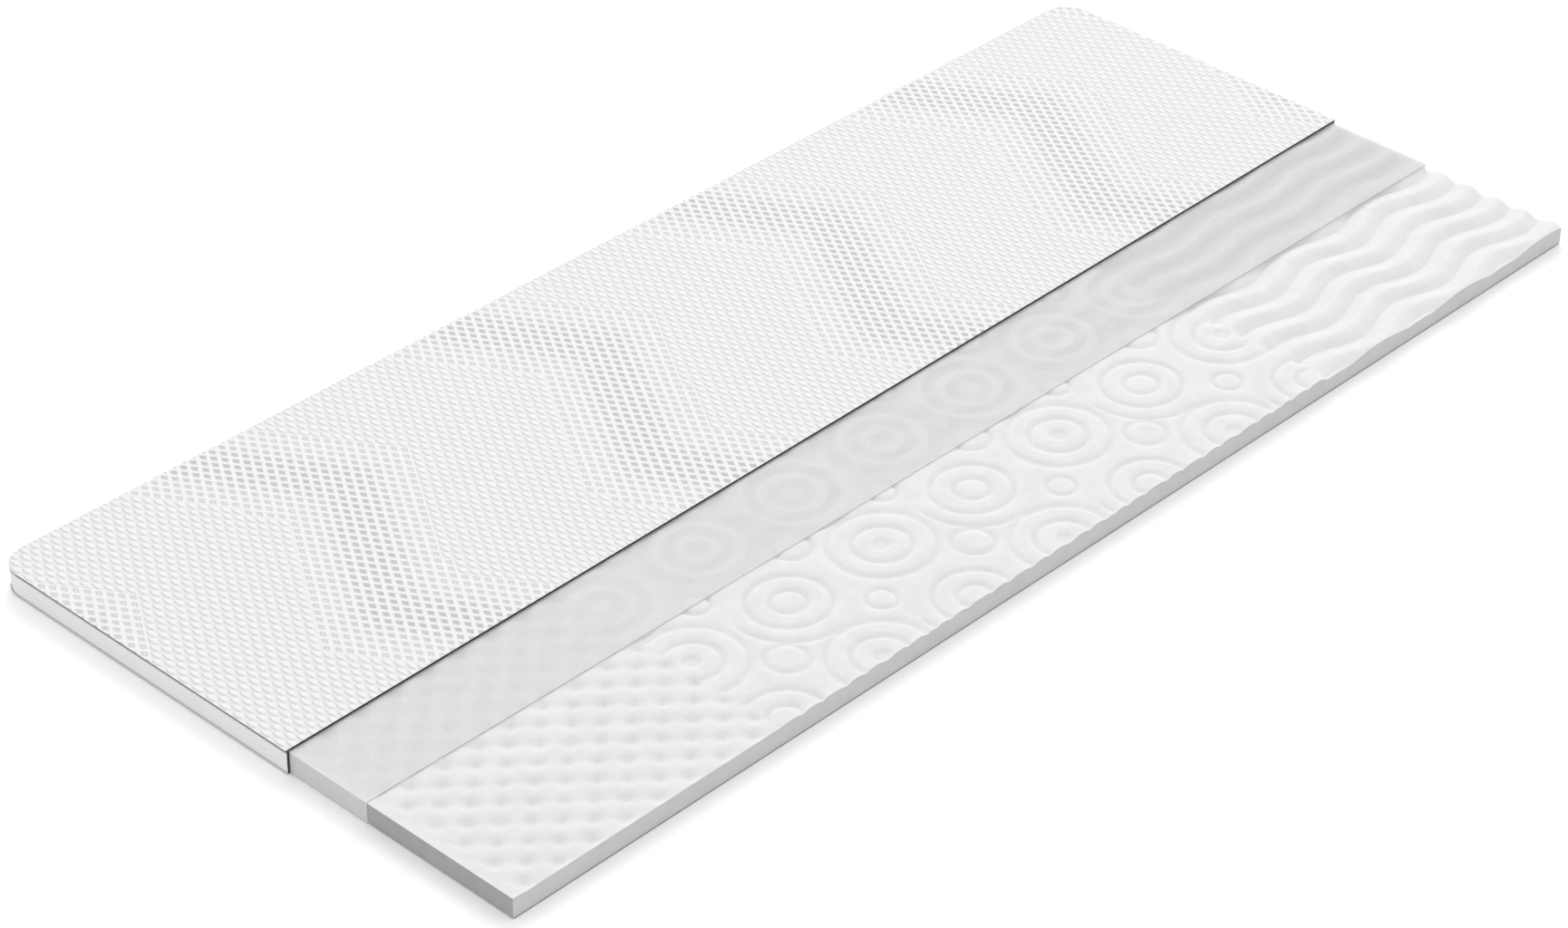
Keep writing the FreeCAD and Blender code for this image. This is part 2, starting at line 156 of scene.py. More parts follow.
def foam_material(name, level, inside=0.0):
    """Open-cell foam: fine pores as bump and a faint mottling. inside is the share of its light
    that is scattered below the surface."""
    n = Nodes(name)
    pores = n.cells(900.0)
    cloud = n.noise(45.0, 4.0)
    tone = n.span(cloud, 0.3, 0.7)
    color = n.mix(tone, grey(level * 0.975), grey(level * 1.02))
    normal = n.bump(pores, 0.0006, 0.35)
    shader = n.principled(color, 0.95, normal, sheen=0.08)
    shader.inputs["Subsurface Weight"].default_value = inside
    shader.inputs["Subsurface Radius"].default_value = (1.0, 1.0, 1.0)
    shader.inputs["Subsurface Scale"].default_value = 0.009
    return n.finish(shader.outputs[0])


# Knit pattern of the top panel, in millimetres from the foot corner of the bare long side. Cells
# whose middle lies less than BAND_HALF from a zigzag line are open, and the others are closed.
CELL_X = 15.65
CELL_Y = 24.1
CELL_SHIFT_X = 13.25
CELL_SHIFT_Y = 11.05
BAND_PITCH = 440.0
BAND_HALF = 104.0
BAND_SWING = 145.0
BAND_TURN = 234.0
BAND_TURN_Y = 483.0
BAND_START = 263.5
# The shaded rim on the foot side of each raised cell is part of an ellipse.
RIM_SHIFT = 1.3
RIM_HALF_X = 4.5
RIM_HALF_Y = 7.6
YARN_TURN = 4.2
# The hole and valley greys below are painted shade, in the open cells' holes and in the valleys
# between closed cells; KNIT_SHADE is the painted shade on the raised cells' rims.
KNIT_YARN = grey(0.785)
KNIT_HOLE_SHADE = grey(0.49)
KNIT_VALLEY_SHADE = grey(0.58)
KNIT_SHADE = grey(0.47)
KNIT_FIBRE = grey(0.7)


def knit_material(name, origin):
    """Centred diamond mesh: closed cells, and open cells in zigzag bands. Painted shade darkens
    the holes, the valleys between closed cells and the foot side of each raised cell.
    """
    n = Nodes(name)
    x, y, _ = n.place()
    x = n.math("SUBTRACT", x, origin[0] / MM + CELL_SHIFT_X)
    y = n.math("SUBTRACT", y, origin[1] / MM + CELL_SHIFT_Y)

    # Diagonal coordinates p and q: whole numbers are the middles of cells.
    u = n.math("DIVIDE", x, CELL_X)
    v = n.math("DIVIDE", y, CELL_Y)
    p = n.math("ADD", u, v)
    q = n.math("SUBTRACT", u, v)
    p_cell = n.math("ROUND", p)
    q_cell = n.math("ROUND", q)
    p_in = n.math("SUBTRACT", p, p_cell)
    q_in = n.math("SUBTRACT", q, q_cell)
    wave_p = n.math("COSINE", n.math("MULTIPLY", p_in, 2.0 * math.pi))
    wave_q = n.math("COSINE", n.math("MULTIPLY", q_in, 2.0 * math.pi))
    open_p = n.math("MULTIPLY_ADD", wave_p, 0.5, 0.5)
    open_q = n.math("MULTIPLY_ADD", wave_q, 0.5, 0.5)
    middle = n.math("MULTIPLY", open_p, open_q)

    # How far this cell's middle is from the nearest zigzag line.
    cell_x = n.math("MULTIPLY", n.math("ADD", p_cell, q_cell), CELL_X / 2.0)
    cell_x = n.math("ADD", cell_x, CELL_SHIFT_X)
    cell_y = n.math("MULTIPLY", n.math("SUBTRACT", p_cell, q_cell), CELL_Y / 2.0)
    cell_y = n.math("ADD", cell_y, CELL_SHIFT_Y)
    swing = n.math("PINGPONG", n.math("SUBTRACT", cell_y, BAND_TURN_Y), BAND_TURN)
    centre = n.math("MULTIPLY_ADD", swing, BAND_SWING / BAND_TURN, BAND_START)
    away = n.math("PINGPONG", n.math("SUBTRACT", cell_x, centre), BAND_PITCH / 2.0)
    in_band = n.math("LESS_THAN", away, BAND_HALF)

    # Open cells: painted shade in the hole, paler towards the band's edges, where a light dot fills
    # its middle.
    depth = n.span(away, 20.0, 70.0, 1.0, 0.66)
    hole = n.span(n.math("MINIMUM", open_p, open_q), 0.16, 0.58)
    dark = n.math("MULTIPLY", n.math("MULTIPLY", hole, depth), in_band)
    dot_zone = n.span(away, BAND_HALF - 34.0, BAND_HALF - 14.0)
    dot = n.math("MULTIPLY", n.span(middle, 0.86, 0.98), dot_zone)
    dark = n.math("MULTIPLY", dark, n.math("SUBTRACT", 1.0, n.math("MULTIPLY", dot, 0.9)))

    # The shaded rim of a raised cell, on its foot side.
    inside_x = n.math("MULTIPLY", n.math("ADD", p_in, q_in), CELL_X / 2.0)
    inside_y = n.math("MULTIPLY", n.math("SUBTRACT", p_in, q_in), CELL_Y / 2.0)
    from_middle = n.math("SUBTRACT", inside_x, RIM_SHIFT)
    wide = n.math("POWER", n.math("DIVIDE", from_middle, RIM_HALF_X), 2.0)
    tall = n.math("POWER", n.math("DIVIDE", inside_y, RIM_HALF_Y), 2.0)
    from_bump = n.math("SQRT", n.math("ADD", wide, tall))
    rim = n.math("MULTIPLY", n.span(from_bump, 0.58, 0.92), n.span(from_bump, 1.55, 1.10))
    crescent = n.math("MULTIPLY", rim, n.span(inside_x, 0.6, -2.2))
    closed = n.math("SUBTRACT", 1.0, in_band)
    shade = n.math("MULTIPLY", crescent, n.math("MULTIPLY_ADD", closed, 0.75, 0.25))
    # Painted shade along the valleys between closed cells.
    valley = n.math("MULTIPLY", closed, n.span(middle, 0.14, 0.0))

    fibre = n.noise(700.0, 2.0)
    slanted = n.math("MULTIPLY", y, 0.6)
    yarn_a = n.math("SINE", n.math("MULTIPLY", n.math("ADD", x, slanted), YARN_TURN))
    yarn_b = n.math("SINE", n.math("MULTIPLY", n.math("SUBTRACT", x, slanted), YARN_TURN))
    yarns = n.math("MULTIPLY", yarn_a, yarn_b)
    color = n.mix(dark, KNIT_YARN, KNIT_HOLE_SHADE)
    color = n.mix(n.math("MULTIPLY", valley, 0.35), color, KNIT_VALLEY_SHADE)
    color = n.mix(n.math("MULTIPLY", shade, 0.60), color, KNIT_SHADE)
    color = n.mix(n.span(fibre, 0.2, 0.8, 0.0, 0.12), color, KNIT_FIBRE)
    relief = n.math("ADD", n.math("MULTIPLY", yarns, 0.12), n.math("MULTIPLY", fibre, 0.3))
    relief = n.math("SUBTRACT", relief, n.math("MULTIPLY", dark, 1.2))
    bump = n.math("MULTIPLY", n.math("MULTIPLY", closed, 1.5), n.span(middle, 0.05, 0.75))
    relief = n.math("ADD", relief, bump)
    normal = n.bump(relief, 0.0006, 0.6)
    return n.finish(n.principled(color, 0.85, normal, sheen=0.15).outputs[0])


def ribbed_material(name, level, pitch, slant):
    """Woven strip: fine rows that run along the strip, slightly slanted, with a fibre grain."""
    n = Nodes(name)
    x, y, z = n.place()
    along = n.math("ADD", x, y)
    row = n.math("ADD", n.math("MULTIPLY", along, slant), z)
    wave = n.math("SINE", n.math("MULTIPLY", row, 2.0 * math.pi / pitch))
    tick = n.math("SINE", n.math("MULTIPLY", along, 2.0 * math.pi / (pitch * 0.9)))
    fibre = n.noise(900.0, 2.0)
    rib = n.math("MULTIPLY_ADD", wave, 0.5, 0.5)
    color = n.mix(n.span(rib, 0.0, 0.55), grey(level * 0.85), grey(level))
    relief = n.math("ADD", rib, n.math("MULTIPLY", tick, 0.12))
    relief = n.math("ADD", relief, n.math("MULTIPLY", fibre, 0.3))
    normal = n.bump(relief, 0.0006, 0.35)
    return n.finish(n.principled(color, 0.88, normal, sheen=0.1).outputs[0])


def weave_material(name, level, pitch):
    """Plain weave: two crossing sets of threads, as bump and as a faint tone."""
    n = Nodes(name)
    x, y, z = n.place()
    turn = 2.0 * math.pi / pitch
    warp = n.math("SINE", n.math("MULTIPLY", x, turn))
    weft = n.math("SINE", n.math("MULTIPLY", n.math("ADD", y, z), turn))
    thread = n.math("MULTIPLY", warp, weft)
    fibre = n.noise(800.0, 2.0)
    height = n.math("MULTIPLY_ADD", thread, 0.5, n.math("MULTIPLY", fibre, 0.5))
    color = n.mix(n.span(thread, -1.0, 1.0), grey(level * 0.88), grey(level))
    normal = n.bump(height, 0.0004, 0.4)
    return n.finish(n.principled(color, 0.9, normal, sheen=0.08).outputs[0])


def veil_material(name, level, clear):
    """Thin translucent knit: part of the light goes straight through, part is scattered. It has
    painted shade where the mesh's hollow attribute says that it lies over a hollow of the foam."""
    n = Nodes(name)
    mottle = n.noise(260.0, 3.0)
    color = n.mix(n.span(mottle, 0.3, 0.7), grey(level * 0.96), grey(level))
    # Painted shade over the foam's hollows, read from the mesh's hollow attribute.
    hollow = n.tree.nodes.new("ShaderNodeAttribute")
    hollow.attribute_name = "hollow"
    color = n.mix(hollow.outputs["Fac"], color, grey(level * 0.81))
    normal = n.bump(mottle, 0.0005, 0.15)
    cloth = n.principled(color, 0.8, normal, sheen=0.05)
    glow = n.tree.nodes.new("ShaderNodeBsdfTranslucent")
    glow.inputs["Color"].default_value = grey(level)
    body = n.tree.nodes.new("ShaderNodeMixShader")
    body.inputs[0].default_value = 0.35
    n.link(cloth.outputs[0], body.inputs[1])
    n.link(glow.outputs[0], body.inputs[2])
    hole = n.tree.nodes.new("ShaderNodeBsdfTransparent")
    both = n.tree.nodes.new("ShaderNodeMixShader")
    both.inputs[0].default_value = clear
    n.link(body.outputs[0], both.inputs[1])
    n.link(hole.outputs[0], both.inputs[2])
    return n.finish(both.outputs[0])


def spacer_material(name, level):
    """A near-black colour for the spacer layer between the two faces, with short upright threads.
    """
    n = Nodes(name)
    x, y, _ = n.place()
    thread = n.math("SINE", n.math("MULTIPLY", n.math("ADD", x, y), 7.0))
    fibre = n.noise(1200.0, 2.0)
    mixed = n.math("MULTIPLY_ADD", thread, 0.3, fibre)
    color = n.mix(n.span(mixed, 0.2, 0.9), grey(level * 0.6), grey(level * 1.5))
    normal = n.bump(mixed, 0.0005, 0.5)
    return n.finish(n.principled(color, 0.9, normal).outputs[0])


def plastic_material(name, level, roughness):
    """Moulded nylon, with a faint streak in its tone."""
    n = Nodes(name)
    streak = n.noise(500.0, 2.0)
    color = n.mix(n.span(streak, 0.3, 0.7), grey(level * 0.97), grey(level))
    normal = n.bump(streak, 0.0002, 0.15)
    return n.finish(n.principled(color, roughness, normal).outputs[0])


def metal_material(name, level, roughness, metallic):
    """Bare or enamelled metal under a thin clear coat, slightly uneven in tone."""
    n = Nodes(name)
    wear = n.noise(350.0, 3.0)
    color = n.mix(n.span(wear, 0.35, 0.75), grey(level), grey(level * 0.94))
    normal = n.bump(wear, 0.0002, 0.1)
    shader = n.principled(color, roughness, normal, metallic=metallic)
    shader.inputs["Coat Weight"].default_value = 0.3
    return n.finish(shader.outputs[0])


def label_material(name, level):
    """Blank satin: very fine ribs across the label."""
    n = Nodes(name)
    x, _, _ = n.place()
    satin = n.math("SINE", n.math("MULTIPLY", x, 12.0))
    normal = n.bump(satin, 0.0002, 0.2)
    return n.finish(n.principled(grey(level), 0.45, normal, sheen=0.3).outputs[0])


# --------------------------------------
# Mesh pieces
# --------------------------------------
def piece(name, points, faces, materials, face_slots=None, replaces=(), slot=None, sharp=35.0):
    """Makes a mesh object that rides on the topper. Points are in metres in the part's frame."""
    mesh = bpy.data.meshes.new(name)
    mesh.from_pydata([tuple(p) for p in points], [], faces)
    mesh.update()
    for material in materials:
        mesh.materials.append(material)
    if face_slots is not None:
        mesh.polygons.foreach_set("material_index", np.asarray(face_slots, np.int32))
    mesh.polygons.foreach_set("use_smooth", np.ones(len(mesh.polygons), bool))
    mesh.set_sharp_from_angle(angle=math.radians(sharp))
    made = bpy.data.objects.new(name, mesh)
    bpy.context.scene.collection.objects.link(made)
    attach(made, BODY)
    if replaces:
        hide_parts(*replaces)
    return made


def slab(
    name, x, y, top, floor, materials, wall_slots=(0, 0, 0, 0), wall_cuts=(), foot=None, **keys
):
    """A closed slab over a grid. x, y and top are arrays of rows by columns, floor is the same or a
    number. wall_slots are the materials of the walls at low y, high x, high y and low x. wall_cuts
    are the heights below the top edge, in metres, where the walls get another row of points, and
    the wall's own material starts below the first of them. foot is (inset, rise) of a rounded
    lower edge."""
    rows, columns = x.shape
    low = np.broadcast_to(np.asarray(floor, float), x.shape)
    points = [np.stack([x, y, top], -1).reshape(-1, 3)]
    index = np.arange(rows * columns).reshape(rows, columns)
    a = index[:-1, :-1].ravel()
    b = index[:-1, 1:].ravel()
    c = index[1:, 1:].ravel()
    d = index[1:, :-1].ravel()
    faces = np.stack([a, b, c, d], -1).tolist()
    slots = [0] * len(faces)
    south = [(0, j) for j in range(columns - 1)]
    east = [(i, columns - 1) for i in range(rows - 1)]
    north = [(rows - 1, j) for j in range(columns - 1, 0, -1)]
    west = [(i, 0) for i in range(rows - 1, 0, -1)]
    ring = south + east + north + west
    side = [0] * len(south) + [1] * len(east) + [2] * len(north) + [3] * len(west)
    ri = np.array([i for i, _ in ring])
    rj = np.array([j for _, j in ring])
    loops = [index[ri, rj]]
    count = rows * columns
    edge_x = x[ri, rj]
    edge_y = y[ri, rj]
    run_x = np.roll(edge_x, -1) - np.roll(edge_x, 1)
    run_y = np.roll(edge_y, -1) - np.roll(edge_y, 1)
    size = np.hypot(run_x, run_y)
    levels = [(0.0, top[ri, rj] - drop) for drop in wall_cuts]
    if foot is not None:
        inset, rise = foot
        for k in range(4):
            turn = math.radians(90.0 * k / 3.0)
            away = inset * (1.0 - math.cos(turn))
            levels.append((away, low[ri, rj] + rise * (1.0 - math.sin(turn))))
    else:
        levels.append((0.0, low[ri, rj]))
    for inset, height in levels:
        shift_x = edge_x - inset * run_y / size
        shift_y = edge_y + inset * run_x / size
        points.append(np.stack([shift_x, shift_y, height], -1))
        loops.append(np.arange(count, count + len(ring)))
        count += len(ring)
    for level, (upper, lower) in enumerate(zip(loops[:-1], loops[1:])):
        for k in range(len(ring)):
            following = (k + 1) % len(ring)
            faces.append([upper[following], upper[k], lower[k], lower[following]])
            plain = level == 0 and len(wall_cuts) > 0
            slots.append(0 if plain else wall_slots[side[k]])
    # The underside has one strip per row, and the first and the last take in all the points of the
    # edges at low y and at high y.
    bottom = loops[-1]
    left = [bottom[0]] + [bottom[-k] for k in range(1, len(west) + 1)]
    right = [bottom[len(south) + k] for k in range(len(east) + 1)]
    lowest = [bottom[k] for k in range(len(south) + 1)]
    highest = [bottom[len(south) + len(east) + k] for k in range(len(north) + 1)]
    last = len(left) - 1
    for k in range(last):
        if k == 0 and k == last - 1:
            loop = lowest + highest
        elif k == 0:
            loop = lowest + [right[1], left[1]]
        elif k == last - 1:
            loop = [left[k], right[k]] + highest
        else:
            loop = [left[k], right[k], right[k + 1], left[k + 1]]
        faces.append(list(reversed(loop)))
        slots.append(0)
    faces = [[int(v) for v in face] for face in faces]
    return piece(name, np.concatenate(points), faces, materials, slots, **keys)


def sweep(name, path, normals, profile, materials, cap_slots=(0, 0), ripple=None, **keys):
    """Sweeps a closed profile along a path in plan. path is the outer line, normals point outwards,
    and profile is a list of (depth inwards, height) points. ripple gives how far an outer point
    stands out, from its place along the path and its height. Both ends are capped."""
    outer_face = 0.0006
    count = len(profile)
    points = []
    for k, (spot, normal) in enumerate(zip(path, normals)):
        for depth, height in profile:
            push = ripple(k, height) if ripple and depth < outer_face else 0.0
            reach = push - depth
            points.append((spot[0] + normal[0] * reach, spot[1] + normal[1] * reach, height))
    faces = []
    slots = []
    for k in range(len(path) - 1):
        for i in range(count):
            j = (i + 1) % count
            first = k * count
            second = first + count
            faces.append([first + i, second + i, second + j, first + j])
            slots.append(0)
    faces.append(list(range(count)))
    slots.append(cap_slots[0])
    start = (len(path) - 1) * count
    faces.append([start + i for i in reversed(range(count))])
    slots.append(cap_slots[1])
    return piece(name, points, faces, materials, slots, **keys)


def plan_path(foot_y, head_y, half, edge, radius, step):
    """The U-shaped outline from the foot's cut, round the closed long side, to the head's cut.
    Returns points and outward normals."""
    spots = []
    normals = []
    straight = edge - radius

    def run(start, end, normal):
        length = math.dist(start, end)
        pieces = max(1, round(length / step))
        for k in range(pieces + 1):
            t = k / pieces
            spots.append((start[0] + (end[0] - start[0]) * t, start[1] + (end[1] - start[1]) * t))
            normals.append(normal)

    def corner(cx, cy, start, end):
        pieces = 14
        for k in range(1, pieces):
            angle = math.radians(start + (end - start) * k / pieces)
            spots.append((cx + radius * math.cos(angle), cy + radius * math.sin(angle)))
            normals.append((math.cos(angle), math.sin(angle)))

    run((-half, foot_y), (-half, straight), (-1.0, 0.0))
    corner(-half + radius, straight, 180.0, 90.0)
    run((-half + radius, edge), (half - radius, edge), (0.0, 1.0))
    corner(half - radius, straight, 90.0, 0.0)
    run((half, straight), (half, head_y), (1.0, 0.0))
    return spots, normals


def part_of_path(spots, normals, low, high, side):
    """The stretch of a path between two x positions, or its foot or head end with the corner."""
    slack = 1e-9
    kept = []
    for spot, normal in zip(spots, normals):
        past_low = side == "foot" or spot[0] >= low - slack
        before_high = side == "head" or spot[0] <= high + slack
        if past_low and before_high and (side != "long" or normal[1] > 0.99):
            kept.append((spot, normal))
    return [s for s, _ in kept], [n for _, n in kept]


def rounded_profile(thickness, low, high, crown, bevel, rows=5):
    """Profile of a textile strip: flat inside, softly crowned outside, with rounded edges."""
    outside = []
    for k in range(rows + 1):
        t = k / rows
        height = low + (high - low) * t
        depth = crown * (2.0 * t - 1.0) ** 2
        outside.append((depth, height))
    outside[0] = (outside[0][0] + bevel, low)
    outside[-1] = (outside[-1][0] + bevel, high)
    outside.insert(1, (crown * 0.8, low + bevel))
    outside.insert(-1, (crown * 0.8, high - bevel))
    inside = [(thickness, high), (thickness, low)]
    return outside + inside


def half_length(y, half, edge, radius):
    """Half the length of the outline at y, which gets less in the rounded corners."""
    over = np.clip(y - (edge - radius), 0.0, radius)
    return half - radius + np.sqrt(np.maximum(radius**2 - over**2, 0.0))


def cut_line(node):
    """The y of a piece's cut edge at its foot end and at its head end, read from its CAD mesh."""
    near_end = 0.003
    low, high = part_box(node)
    spots = [v.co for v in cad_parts[node].data.vertices]
    found = []
    for end in (low.x, high.x):
        found.append(min(spot.y for spot in spots if abs(spot.x - end) < near_end))
    return found


def ease(t):
    """Smooth step from 0 at t = 0 to 1 at t = 1."""
    t = np.clip(t, 0.0, 1.0)
    return t * t * (3.0 - 2.0 * t)


# --------------------------------------
# Foam relief, in millimetres from the foot corner of the bare long side
# --------------------------------------
# The pattern starts FOAM_SHIFT from the foot. Its lengths along x, below, are FOAM_STRETCH times
# those on the foam.
FOAM_STRETCH = 1.0035
FOAM_SHIFT = 3.9
# Egg crate at the foot: pitches, the place of one hollow, and where it starts and ends.
CRATE_X = 52.1
CRATE_Y = 47.2
CRATE_X0 = 30.5
CRATE_Y0 = 200.5
CRATE_DEPTH = 5.2
CRATE_POWER = 2.0
CRATE_START = 8.0
CRATE_END = 420.0
CRATE_FADE = 16.0
# Rings in the middle, round a dimple and round a bump by turns, with knobs and linking grooves.
RING_X = 167.1
RING_Y = 152.5
RING_X0 = 614.0
RING_Y0 = 8.8
RING_PITCH = 30.6
RING_EYE = 7.3
RING_EDGE = 68.5
RING_OVAL = 1.06
RING_SCALE = 1.03
RING_DEPTH = 3.1
RING_POWER = 3.2
RING_COLUMNS = range(-1, 6)
RING_ROWS = range(-1, 7)
KNOB_LARGE = 27.0
KNOB_SMALL = 19.0
KNOB_MOAT = 11.0
KNOB_POWER = 1.71
LINK_RADIUS = 81.0
LINK_HALF_WIDTH = 5.0
LINK_TOWARDS = 225.0
LINK_HALF_TURN = 46.0
LINK_FADE = 16.0
LINK_DEPTH = 3.0
# Waves at the head: their crests run along x and swing in y.
WAVE_X = 187.5
WAVE_Y = 46.8
WAVE_SWING = 11.0
WAVE_SWING_X0 = 1580.0
WAVE_FOOT = 40.5
WAVE_BACK = 0.55
WAVE_SMOOTH = 0.55
WAVE_DEPTH = 6.4
WAVE_GROOVE = 1.2
WAVE_GROOVE_HALF = 3.9
WAVE_START = 1452.0
WAVE_FADE = 22.0
DEEPEST = WAVE_DEPTH + WAVE_GROOVE


def ring(r):
    """Rings round a dimple: valleys at 7, 38 and 68 mm, ridges at 23 and 53 mm."""
    half_pitch = RING_PITCH / 2.0
    rings = -np.cos(2.0 * np.pi * (r - RING_EYE) / RING_PITCH)
    fading = -(1.0 + np.cos(np.pi * (r - RING_EDGE) / half_pitch)) / 2.0
    value = np.where(r < RING_EYE, -1.0, rings)
    value = np.where(r > RING_EDGE, fading, value)
    return np.where(r > RING_EDGE + half_pitch, 0.0, value)


def knob(t, size):
    """A small bump with a moat round it, between four rings."""
    inner = np.cos(np.pi * (np.minimum(t, size) / size) ** KNOB_POWER)
    outer = -(1.0 + np.cos(np.pi * (t - size) / KNOB_MOAT)) / 2.0
    value = np.where(t < size, inner, outer)
    return np.where(t > size + KNOB_MOAT, 0.0, value)


def link_groove(dx, dy):
    """Part of a groove round a ring set, towards the foot and the bare side, from 0 to 1."""
    r = np.hypot(dx, dy)
    turned = np.degrees(np.arctan2(dy, dx))
    off = np.abs((turned + 540.0 - LINK_TOWARDS) % 360.0 - 180.0)
    along = 1.0 - ease((off - LINK_HALF_TURN) / LINK_FADE)
    return along * np.exp(-(((r - LINK_RADIUS) / LINK_HALF_WIDTH) ** 2))


def pillow(value, power):
    """Broadens the peaks and narrows the valleys of a relief from -1 to 1. Returns 0 to 1."""
    return 1.0 - ((1.0 - np.clip(value, -1.0, 1.0)) / 2.0) ** power


def rolling(turns):
    """Lopsided wave from 0 to 1: a long gentle back, and a shorter flank to the bare side."""
    t = np.mod(turns, 1.0)
    flank = 1.0 - WAVE_BACK
    up = 0.5 - 0.5 * np.cos(np.pi * np.clip(t / flank, 0.0, 1.0))
    down = 0.5 + 0.5 * np.cos(np.pi * np.clip((t - flank) / WAVE_BACK, 0.0, 1.0))
    smooth = np.where(t < flank, up, down)
    straight = np.where(t < flank, t / flank, (1.0 - t) / WAVE_BACK)
    return WAVE_SMOOTH * smooth + (1.0 - WAVE_SMOOTH) * straight


def foam_relief(x, y):
    """Depth of the profiled foam below its peaks, in millimetres: crate, rings, then waves."""
    x = (x - FOAM_SHIFT) * FOAM_STRETCH
    crate_x = np.cos(2.0 * np.pi * (x - CRATE_X0) / CRATE_X)
    crate = -crate_x * np.cos(2.0 * np.pi * (y - CRATE_Y0) / CRATE_Y)
    crate_depth = CRATE_DEPTH * (1.0 - pillow(crate, CRATE_POWER))
    crate_depth = crate_depth * ease((x - CRATE_START) / CRATE_FADE)

    rings = np.zeros_like(x)
    links = np.zeros_like(x)
    for i in RING_COLUMNS:
        for k in RING_ROWS:
            dx = x - (RING_X0 + RING_X * i)
            dy = y - (RING_Y0 + RING_Y * k)
            dimpled = (i + k) % 2 == 0
            value = ring(np.hypot(dx, RING_OVAL * dy) / RING_SCALE)
            rings += value if dimpled else -value
            if i < RING_COLUMNS[-1]:
                t = np.hypot(dx - RING_X / 2.0, dy + RING_Y / 2.0)
                rings += knob(t, KNOB_LARGE if dimpled else KNOB_SMALL)
            if not dimpled:
                links += link_groove(dx, dy)
    ring_depth = RING_DEPTH * (1.0 - pillow(rings, RING_POWER))
    ring_depth = np.maximum(ring_depth, LINK_DEPTH * links)

    swing = -WAVE_SWING * np.cos(2.0 * np.pi * (x - WAVE_SWING_X0) / WAVE_X)
    turn = (y - WAVE_FOOT - swing) / WAVE_Y
    from_foot = (np.mod(turn + 0.5, 1.0) - 0.5) * WAVE_Y
    wave_depth = WAVE_DEPTH * (1.0 - rolling(turn))
    wave_depth += WAVE_GROOVE * np.exp(-((from_foot / WAVE_GROOVE_HALF) ** 2))

    to_rings = ease((x - CRATE_END) / CRATE_FADE)
    to_waves = ease((x - WAVE_START) / WAVE_FADE)
    depth = crate_depth * (1.0 - to_rings) + ring_depth * to_rings
    return depth * (1.0 - to_waves) + wave_depth * to_waves


# --------------------------------------
# Building the topper
# --------------------------------------
ORIGIN = (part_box("cover_top_knit")[0].x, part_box("foam_core")[0].y)
LAYER_STEP = 0.02
PATH_STEP = 0.010
BORDER_THICKNESS = 0.0036
HEM = 0.0022
# Two rows of points close to an edge, so that it can be rounded.
EDGE_NEAR = 0.0006
EDGE_FAR = 0.0020


def in_pattern(x, y):
    """Metres in the part's frame to millimetres in the frame of the knit and the foam relief."""
    return (x - ORIGIN[0]) / MM, (y - ORIGIN[1]) / MM


def rows_between(marks):
    """Row positions from (from, to, step) stretches in metres, ends included once."""
    rows = []
    for start, end, step in marks:
        count = max(1, round((end - start) / step))
        rows += [start + (end - start) * k / count for k in range(count)]
    return rows + [marks[-1][1]]


def first_edge(low):
    """The two short stretches of rows_between after an edge at low."""
    return [(low, low + EDGE_NEAR, EDGE_NEAR), (low + EDGE_NEAR, low + EDGE_FAR, EDGE_FAR)]


def last_edge(high):
    """The two short stretches of rows_between before an edge at high."""
    return [(high - EDGE_FAR, high - EDGE_NEAR, EDGE_FAR), (high - EDGE_NEAR, high, EDGE_NEAR)]


def edged(low, high, step):
    """Row positions a step apart, with the two close rows at both edges."""
    middle = [(low + EDGE_FAR, high - EDGE_FAR, step)]
    return rows_between(first_edge(low) + middle + last_edge(high))


def grid(columns, rows, half, edge, radius, cuts=None):
    """A grid of x and y, squeezed into the rounded corners and bent to follow a slanting cut."""
    follow = 0.12
    squeezed = 0.1
    x, y = np.meshgrid(np.asarray(columns, float), np.asarray(rows, float))
    if cuts is not None:
        share = (x + half) / (2.0 * half)
        shift = (cuts[1] - cuts[0]) * share
        fade = 1.0 - ease((y - y.min()) / follow)
        y = y + shift * fade
    reach = half_length(y, half, edge, radius)
    inner = half - squeezed
    outside = np.clip(np.abs(x) - inner, 0.0, None)
    x = np.sign(x) * (np.minimum(np.abs(x), inner) + outside * (reach - inner) / squeezed)
    return x, y


def flat_layer(name, node, cuts, radius, material, slot):
    """A flat sheet that fills its node's box, from the cut edge to the closed long side."""
    low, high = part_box(node)
    rows = rows_between([(cuts[0], high.y, LAYER_STEP)])
    columns = rows_between([(low.x, high.x, LAYER_STEP)])
    x, y = grid(columns, rows, high.x, high.y, radius, cuts)
    top = np.full(x.shape, high.z)
    return slab(name, x, y, top, low.z, [material], replaces=[node], slot=slot)


